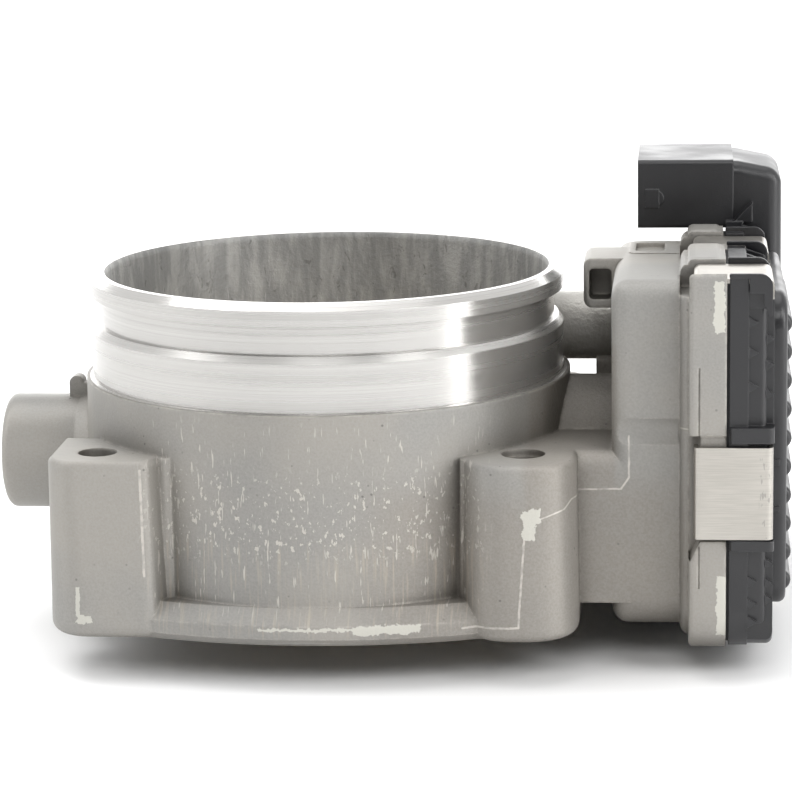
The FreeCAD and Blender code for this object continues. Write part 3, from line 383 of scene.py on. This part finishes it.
def parting_lines(look, ragged):
    """1 along the die's parting lines, which wander a little."""
    flat = look.node("ShaderNodeCombineXYZ")
    look.link(look.calc("ADD", look.x, look.calc("MULTIPLY", ragged, 0.16)), flat.inputs[0])
    look.link(look.calc("ADD", look.z, look.calc("MULTIPLY", ragged, 0.12)), flat.inputs[2])
    lines = []
    for start, end, half in PARTING_LINES:
        a = Vector((start[0], 0, start[1]))
        along = Vector((end[0], 0, end[1])) - a
        offset = look.vector("SUBTRACT", flat.outputs[0], tuple(a)).outputs["Vector"]
        dot = look.vector("DOT_PRODUCT", offset, tuple(along)).outputs["Value"]
        share = look.calc("DIVIDE", dot, along.length_squared)
        held = look.calc("MINIMUM", look.calc("MAXIMUM", share, 0.0), 1.0)
        foot = look.node("ShaderNodeVectorMath", operation="SCALE")
        foot.inputs[0].default_value = along
        look.link(held, foot.inputs["Scale"])
        gap = look.vector("DISTANCE", offset, foot.outputs["Vector"]).outputs["Value"]
        lines.append(look.ramp(gap, half + 0.06, half - 0.08))
    return look.either(*lines)


def rubbed_patches(look, ragged):
    """1 inside the rubbed patches, with torn borders."""
    patches = []
    for x0, x1, z0, z1 in RUBBED_PATCHES:
        jag = look.calc("MULTIPLY", ragged, min(0.9, (x1 - x0) * 0.4))
        inside = look.times(
            look.window(look.calc("ADD", look.x, jag), x0, x1, 0.08),
            look.window(look.calc("ADD", look.z, jag), z0, z1, 0.1),
        )
        patches.append(inside)
    return look.either(*patches)


def drag_marks(look, front):
    """Bright streaks and chips where the die was pulled off the front of the wall."""
    belt = look.times(front, look.window(look.z, 18.0, 27.0, 6.0))
    tall = look.times(front, look.window(look.z, 8.0, 36.0, 5.0))
    streaks = look.noise((0.55, 9.0, 4.6), detail=2, rough=0.55)
    chips = look.noise((0.8, 5.0, 1.35), detail=3, rough=0.55, distortion=0.15)
    return look.either(
        look.times(look.ramp(streaks, 0.64, 0.69), tall),
        look.times(look.ramp(chips, 0.61, 0.645), belt),
    )


def bore_skin(look):
    """Inside of the bore: darker, with long runs, drops and stains down the wall."""
    runs = look.noise((2.4, 2.4, 12.0), detail=4, rough=0.6, distortion=0.3)
    inner = look.blend(look.ramp(runs, 0.38, 0.7), BORE_DARK, BORE_PALE)
    drops = look.times(
        look.ramp(look.noise((0.5, 0.5, 4.0), detail=2, rough=0.6), 0.64, 0.70),
        look.ramp(look.z, 57.0, 45.0),
    )
    inner = look.blend(look.times(drops, 0.6), inner, BORE_DROP)
    stains = look.noise((1.6, 1.6, 3.2), detail=3, rough=0.6, distortion=0.8)
    return look.blend(look.times(look.ramp(stains, 0.62, 0.70), 0.5), inner, BORE_STAIN)


def cast_aluminium(name):
    """The housing: warm grey cast skin, a darker bore and a bright turned neck."""
    look = Look(name)
    r = look.radius()
    outside = look.either(
        look.ramp(r, MOUTH_R + 0.2, MOUTH_R + 0.4),
        look.ramp(look.z, NECK_TOP - 0.1, NECK_TOP),
    )
    turned = look.times(
        look.ramp(look.z, NECK_FOOT - 0.12, NECK_FOOT + 0.04),
        look.ramp(r, NECK_R + 0.1, NECK_R - 0.1),
        outside,
    )
    bore = look.times(look.ramp(r, MOUTH_R + 0.3, MOUTH_R + 0.1), look.ramp(look.z, 0.0, 1.0))

    # Cast skin: cool and warm greys in soft clouds, with fine grit and a few pits
    clouds = look.ramp(look.noise(26.0, detail=3), 0.35, 0.68)
    grit = look.noise(0.42, detail=2, rough=0.6)
    # Darker brown over the lower right of the wall and over the area between neck and case
    darker_brown_areas = look.either(
        look.times(look.window(look.x, 20, 60, 14), look.window(look.z, -10, 22, 9)),
        look.times(look.window(look.x, 40, 54, 2), look.window(look.z, 24, 50, 2)),
    )
    skin = look.blend(clouds, SKIN_COOL, SKIN_WARM)
    skin = look.blend(look.times(darker_brown_areas, 0.6), skin, SKIN_BROWN)
    skin = look.blend(look.ramp(grit, 0.25, 0.75, 0.0, 0.26), skin, SKIN_GRIT)
    pits = look.ramp(look.spots(2.3), 0.13, 0.05)
    pits = look.times(pits, look.ramp(look.noise(7.0), 0.5, 0.66))
    skin = look.blend(look.times(pits, 0.7), skin, SKIN_PIT)

    # Front of the wall, below the neck
    front = look.times(look.ramp(look.y, -22.0, -34.0), look.window(look.x, -24, 27, 8))
    marks = drag_marks(look, front)
    sheen = look.times(look.ramp(look.noise((0.5, 9.0, 9.0), detail=1), 0.5, 0.8), front)
    sheen = look.times(sheen, look.window(look.z, 4, 16, 4))
    skin = look.blend(look.times(sheen, 0.5), skin, DRAG_SHEEN)
    skin = look.blend(look.times(marks, 0.75), skin, DRAG_MARK)

    # Lines and patches rubbed bright, on faces towards -Y only
    wobble = look.noise(1.3, detail=3, rough=0.7)
    ragged = look.calc("MULTIPLY", look.calc("SUBTRACT", wobble, 0.5), 2.4)
    on_front = look.ramp(look.y, -20.0, -26.0)
    lines = look.times(parting_lines(look, ragged), on_front)
    patches = look.times(rubbed_patches(look, ragged), on_front)

    # Corners worn lighter, broken up by noise
    breaks = look.noise(2.2, detail=3, rough=0.65)
    worn = look.times(look.edges(0.7, 0.015, 0.16), look.ramp(breaks, 0.36, 0.62))
    skin = look.blend(look.times(worn, 0.6), skin, WORN_CORNER)
    faded = look.ramp(look.noise(1.6, detail=2), 0.3, 0.6, 0.25, 0.8)
    skin = look.blend(look.times(lines, faded), skin, LINE_PALE)
    skin = look.blend(look.times(patches, 0.8), skin, RUBBED)

    # The bore, painted light on the tube between neck and case, and painted shade in the corners of the rest
    skin = look.blend(bore, skin, bore_skin(look))
    # Painted light: the tube between neck and case, which the lamps barely reach, is lightened in its colour
    painted_tube_light = look.times(
        look.window(look.x, 36, 53.5, 1),
        look.window(look.z, 38, 54, 1),
        look.ramp(look.y, 8, 12),
    )
    skin = look.blend(look.times(painted_tube_light, 0.8), skin, TUBE_PAINTED_LIGHT)
    # Painted shade: ambient occlusion darkens the colour in corners, pockets and next to the floor, held off
    # the tube
    painted_shade = look.times(look.hollows(13.0, 0.25, 0.85), look.inverse(look.times(painted_tube_light, 0.9)))
    skin = look.shade(look.times(painted_shade, 0.95), skin, CORNER_PAINTED_SHADE)

    # Turned neck: bright, with fine rings from the tool
    rings = look.noise((RING, RING, 0.16), detail=4, rough=0.65)
    broad = look.noise((RING, RING, 1.6), detail=2)
    arcs = look.noise((14.0, 14.0, 0.35), detail=3, rough=0.6)
    bright = look.blend(look.ramp(rings, 0.3, 0.7), NECK_DARK, NECK_BRIGHT)
    bright = look.blend(look.ramp(arcs, 0.3, 0.72, 0.0, 0.35), bright, NECK_ARC)
    look.colour(look.blend(turned, skin, bright))
    look.metal(look.number(turned, look.number(bore, 0.42, 0.55), 0.8))
    turned_rough = look.number(look.ramp(broad, 0.3, 0.7), 0.20, 0.30)
    skin_rough = look.ramp(grit, 0.2, 0.8, 0.5, 0.66)
    rubbed = look.either(lines, patches, look.times(worn, 0.6))
    skin_rough = look.number(rubbed, skin_rough, 0.42)
    look.roughness(look.number(turned, skin_rough, turned_rough))
    look.shader.inputs["Anisotropic"].default_value = 0.7
    look.shader.inputs["Anisotropic Rotation"].default_value = 0.25
    tangent = look.node("ShaderNodeTangent", direction_type="RADIAL", axis="Z")
    look.link(tangent.outputs[0], look.shader.inputs["Tangent"])

    # Relief: softened edges, cast grain, rougher between neck and case and in the bore, and the tool's rings
    skin_share = look.inverse(turned)
    look.soften(look.number(turned, 1.0, 0.1))
    look.bump(look.noise(1.5, detail=3, rough=0.6), 0.07, skin_share)
    look.bump(grit, 0.03, skin_share)
    coarse = look.either(
        look.times(
            look.window(look.x, 44, 62, 3),
            look.window(look.z, 33, 52, 2),
            look.ramp(look.y, -26, -20),
        ),
        look.times(bore, 0.5),
    )
    look.bump(look.noise(0.9, detail=2, rough=0.7), 0.22, look.times(skin_share, coarse))
    look.bump(marks, 0.03, skin_share)
    look.bump(rings, 0.006, turned)
    return look.material


# ---------------------------------------------------------------- plastics
def moulded(name, base, light, rough=(0.36, 0.5), grain=0.35, relief=0.02, shine=0.5):
    """Moulded plastic: faint flow clouds, fine grain, paler scuffed edges."""
    look = Look(name)
    clouds = look.ramp(look.noise(11.0, detail=3), 0.3, 0.7)
    fine = look.noise(grain, detail=2, rough=0.6)
    tone = look.blend(look.times(clouds, 0.35), base, light)
    tone = look.blend(look.ramp(fine, 0.55, 0.8, 0.0, 0.3), tone, light)
    scratch = look.ramp(look.noise((0.35, 0.35, 7.0), detail=2, rough=0.6), 0.67, 0.72)
    tone = look.blend(look.times(scratch, 0.25), tone, light)
    worn = look.times(look.edges(0.3, 0.02, 0.2), look.ramp(look.noise(1.7, detail=3), 0.4, 0.62))
    pale = tuple(min(1.0, c * 2.2 + 0.02) for c in light)
    look.colour(look.blend(look.times(worn, 0.4), tone, pale))
    look.roughness(look.number(clouds, rough[0], rough[1]))
    look.shader.inputs["Specular IOR Level"].default_value = shine
    look.soften(0.35)
    look.bump(fine, relief)
    look.bump(look.noise(5.0, detail=2), 0.05)
    return look.material


# ---------------------------------------------------------------- metals
def bare_metal(name, dark, light, rough=(0.2, 0.34), brushed=(0.25, 6.0, 0.25), relief=0.006):
    """Bare metal with drawn or turned lines, clouds of stain and brighter edges."""
    look = Look(name, metal=1.0)
    lines = look.noise(brushed, detail=3, rough=0.6)
    clouds = look.ramp(look.noise(4.0, detail=3, rough=0.55), 0.3, 0.7)
    tone = look.blend(look.ramp(lines, 0.3, 0.7), dark, light)
    tone = look.blend(look.times(clouds, 0.3), tone, tuple(c * 0.78 for c in dark))
    worn = look.times(look.edges(0.25, 0.02, 0.2), look.ramp(look.noise(1.2, detail=2), 0.35, 0.6))
    pale = tuple(min(1.0, c * 1.12) for c in light)
    look.colour(look.blend(look.times(worn, 0.5), tone, pale))
    look.roughness(look.number(clouds, rough[0], rough[1]))
    look.bump(lines, relief)
    look.bump(look.noise(2.6, detail=2), 0.012)
    return look.material


def clip_steel(name):
    """Stainless strip: warm satin across the middle, with a few rub marks near the bends."""
    look = Look(name, metal=1.0)
    drawn = look.noise((7.0, 7.0, 0.16), detail=3, rough=0.6)
    clouds = look.ramp(look.noise(6.0, detail=2), 0.3, 0.7)
    tone = look.blend(look.ramp(drawn, 0.3, 0.7), (0.44, 0.42, 0.385), (0.52, 0.497, 0.457))
    rubs = look.times(
        look.ramp(look.noise((0.5, 0.5, 1.8), detail=2, rough=0.6), 0.60, 0.66),
        look.ramp(look.x, 80.0, 80.6),
    )
    look.colour(look.blend(look.times(rubs, 0.6), tone, (0.27, 0.26, 0.245)))
    look.roughness(look.number(clouds, 0.34, 0.42))
    look.bump(drawn, 0.004)
    return look.material


def rubber(name):
    """Near-black seal rubber with a little dust on it."""
    look = Look(name)
    fine = look.noise(0.5, detail=3)
    dust = look.ramp(look.noise(2.4, detail=3), 0.5, 0.72)
    tone = look.blend(look.ramp(fine, 0.3, 0.7), (0.012, 0.012, 0.013), (0.022, 0.022, 0.023))
    look.colour(look.blend(look.times(dust, 0.3), tone, (0.06, 0.058, 0.055)))
    look.roughness(look.ramp(fine, 0.2, 0.8, 0.55, 0.75))
    look.bump(fine, 0.03)
    return look.material


def sintered(name, dark, light, rough=(0.5, 0.7), size=0.5):
    """Pressed powder such as magnet or brush: matt, with small open pores."""
    look = Look(name)
    fine = look.noise(size, detail=3, rough=0.65)
    pores = look.ramp(look.spots(size * 2.2), 0.2, 0.08)
    tone = look.blend(look.ramp(fine, 0.3, 0.7), dark, light)
    look.colour(look.blend(look.times(pores, 0.6), tone, tuple(c * 0.4 for c in dark)))
    look.roughness(look.ramp(fine, 0.2, 0.8, rough[0], rough[1]))
    look.bump(fine, 0.03)
    return look.material


def laminated(name):
    """Stacked core plates, 0.5 mm each, along X."""
    look = Look(name, metal=0.8)
    saw = look.calc("PINGPONG", look.x, 0.25)
    plates = look.ramp(saw, 0.02, 0.08)
    tone = look.blend(plates, (0.08, 0.08, 0.085), (0.36, 0.36, 0.37))
    stain = look.ramp(look.noise(3.0, detail=3), 0.5, 0.75, 0.0, 0.4)
    look.colour(look.blend(stain, tone, (0.2, 0.15, 0.11)))
    look.roughness(look.ramp(look.noise(1.0), 0.3, 0.7, 0.4, 0.55))
    look.bump(plates, 0.03)
    return look.material


def enamelled_wire(name):
    """Copper wire under clear enamel, wound side by side."""
    look = Look(name, metal=1.0)
    slant = look.calc("ADD", look.x, look.calc("MULTIPLY", look.y, 0.3))
    turns = look.calc("PINGPONG", slant, 0.3)
    tone = look.blend(look.ramp(turns, 0.03, 0.24), (0.20, 0.07, 0.025), (0.72, 0.34, 0.17))
    darker = look.ramp(look.noise(3.0, detail=2), 0.4, 0.7, 0.0, 0.3)
    look.colour(look.blend(darker, tone, (0.5, 0.19, 0.08)))
    look.roughness(look.ramp(look.noise(1.2), 0.3, 0.7, 0.22, 0.36))
    look.shader.inputs["Coat Weight"].default_value = 0.6
    look.bump(turns, 0.1)
    return look.material


def board(name):
    """Green laminate with a woven shadow and faint copper runs under the lacquer."""
    look = Look(name)
    weave = look.times(look.calc("PINGPONG", look.y, 0.3), look.calc("PINGPONG", look.z, 0.3))
    tone = look.blend(look.ramp(weave, 0.0, 0.06), (0.006, 0.05, 0.03), (0.012, 0.085, 0.05))
    run = look.ramp(look.calc("PINGPONG", look.calc("ADD", look.y, look.noise(5.0)), 1.3), 0.25, 0.32)
    look.colour(look.blend(look.times(look.inverse(run), 0.5), tone, (0.03, 0.16, 0.08)))
    look.roughness(look.ramp(look.noise(2.0, detail=2), 0.3, 0.7, 0.25, 0.4))
    look.bump(run, 0.02)
    return look.material


def finishes():
    """A material for each slot of the record."""
    return {
        "cast_aluminium": cast_aluminium("cast_aluminium"),
        "black_plastic": moulded(
            "black_plastic", (0.003, 0.003, 0.0045), (0.015, 0.015, 0.017), (0.3, 0.44), shine=0.7
        ),
        "clip_steel": clip_steel("clip_steel"),
        "polished_steel": bare_metal(
            "polished_steel", (0.55, 0.56, 0.57), (0.72, 0.72, 0.73), (0.12, 0.22)
        ),
        "spring_steel": bare_metal(
            "spring_steel", (0.20, 0.20, 0.21), (0.34, 0.34, 0.35), (0.28, 0.42)
        ),
        "zinc_steel": bare_metal(
            "zinc_steel", (0.50, 0.50, 0.49), (0.68, 0.68, 0.66), (0.3, 0.45), (0.6, 0.6, 0.6)
        ),
        "plate_brass": bare_metal(
            "plate_brass", (0.47, 0.36, 0.19), (0.58, 0.45, 0.26), (0.28, 0.42), (9.0, 0.3, 0.3)
        ),
        "contact_brass": bare_metal(
            "contact_brass", (0.66, 0.50, 0.22), (0.80, 0.62, 0.30), (0.2, 0.32)
        ),
        "bronze": bare_metal(
            "bronze", (0.42, 0.26, 0.13), (0.56, 0.36, 0.19), (0.32, 0.46), (0.5, 0.5, 0.5), 0.02
        ),
        "copper_wire": enamelled_wire("copper_wire"),
        "seal_rubber": rubber("seal_rubber"),
        "gear_nylon": moulded(
            "gear_nylon", (0.62, 0.58, 0.49), (0.74, 0.70, 0.61), (0.4, 0.52), 0.4, 0.01
        ),
        "brown_plastic": moulded(
            "brown_plastic", (0.10, 0.045, 0.022), (0.18, 0.085, 0.045), (0.35, 0.5), 0.4
        ),
        "ferrite": sintered("ferrite", (0.045, 0.045, 0.05), (0.085, 0.085, 0.09)),
        "carbon": sintered("carbon", (0.035, 0.033, 0.032), (0.07, 0.067, 0.065), (0.42, 0.6), 0.35),
        "lamination": laminated("lamination"),
        "circuit_board": board("circuit_board"),
    }


def paint_nodes():
    """Gives each carried-over node the finish of its slot in the record."""
    looks = finishes()
    slots = {part["node"]: part["material_slot"] for part in frame["record"]["subparts"]}
    for name, node in frame["nodes"].items():
        node.data.materials.clear()
        node.data.materials.append(looks[slots[name]])


make_camera()
make_world()
make_floor(cad_box[0].z)
for light in LIGHTS:
    soft_light(*light)
paint_nodes()
